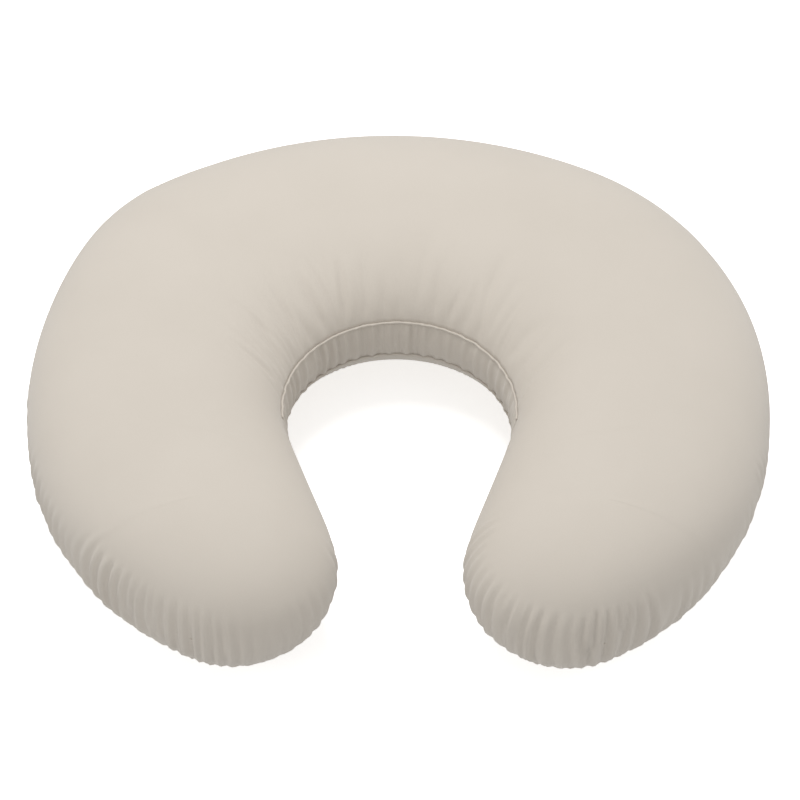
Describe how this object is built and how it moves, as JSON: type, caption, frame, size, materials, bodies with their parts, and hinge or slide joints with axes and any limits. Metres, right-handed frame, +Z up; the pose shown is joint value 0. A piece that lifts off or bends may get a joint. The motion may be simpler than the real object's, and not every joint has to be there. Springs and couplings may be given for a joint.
{
  "type": "nursing pillow",
  "caption": "C-shaped nursing pillow: fibre-filled sewn insert in a removable plain cotton cover with an inner band round the waist hole and a zip in the back edge.",
  "frame": {"origin": "centre of the base of the bounding box, on the plane the pillow lies on", "axes": "+Z up; +Y to the closed back; -Y to the open front between the arms; +X to the right seen from the front"},
  "size_m": [0.5406, 0.4852, 0.1201],
  "materials": {
    "cover_cotton": "matte plain weave, warm beige",
    "liner_cloth": "matte plain weave, off-white",
    "polyester_fibre": "loose crimped fibre, white",
    "zip_tape": "matte herringbone tape, beige",
    "zip_coil": "nylon monofilament, beige",
    "zip_metal": "satin nickel plate",
    "thread": "polyester sewing thread, beige",
    "label_satin": "woven satin, white, blank"
  },
  "bodies": {
    "pillow": {"cover_top_panel": "cover_cotton", "cover_bottom_panel": "cover_cotton", "cover_inner_band": "cover_cotton", "band_top_seam": "cover_cotton", "band_bottom_seam": "cover_cotton", "outer_seam_left": "cover_cotton", "outer_seam_right": "cover_cotton", "liner_top_panel": "liner_cloth", "liner_bottom_panel": "liner_cloth", "liner_inner_band": "liner_cloth", "liner_closing_stitch": "thread", "fibre_fill": "polyester_fibre", "zip_tape_upper": "zip_tape", "zip_tape_lower": "zip_tape", "zip_coil_upper": "zip_coil", "zip_coil_lower": "zip_coil", "zip_top_stops": "zip_metal", "zip_bottom_stop": "zip_metal", "zip_stitch_upper": "thread", "zip_stitch_lower": "thread", "care_label": "label_satin"},
    "zip_slider": {"zip_slider_body": "zip_metal"},
    "pull_tab": {"zip_pull_tab": "zip_metal"}
  },
  "joints": [
    {"name": "zip_slider_travel", "type": "hinge", "parent": "pillow", "child": "zip_slider", "pos_m": [0, -0.0897, 0.06], "axis": [0, 0, -1], "range_deg": [0, 47.9]},
    {"name": "pull_tab_swing", "type": "hinge", "parent": "zip_slider", "child": "pull_tab", "pos_m": [-0.13613, 0.21656, 0.06], "axis": [0, 0, 1], "range_deg": [0, 180]}
  ]
}
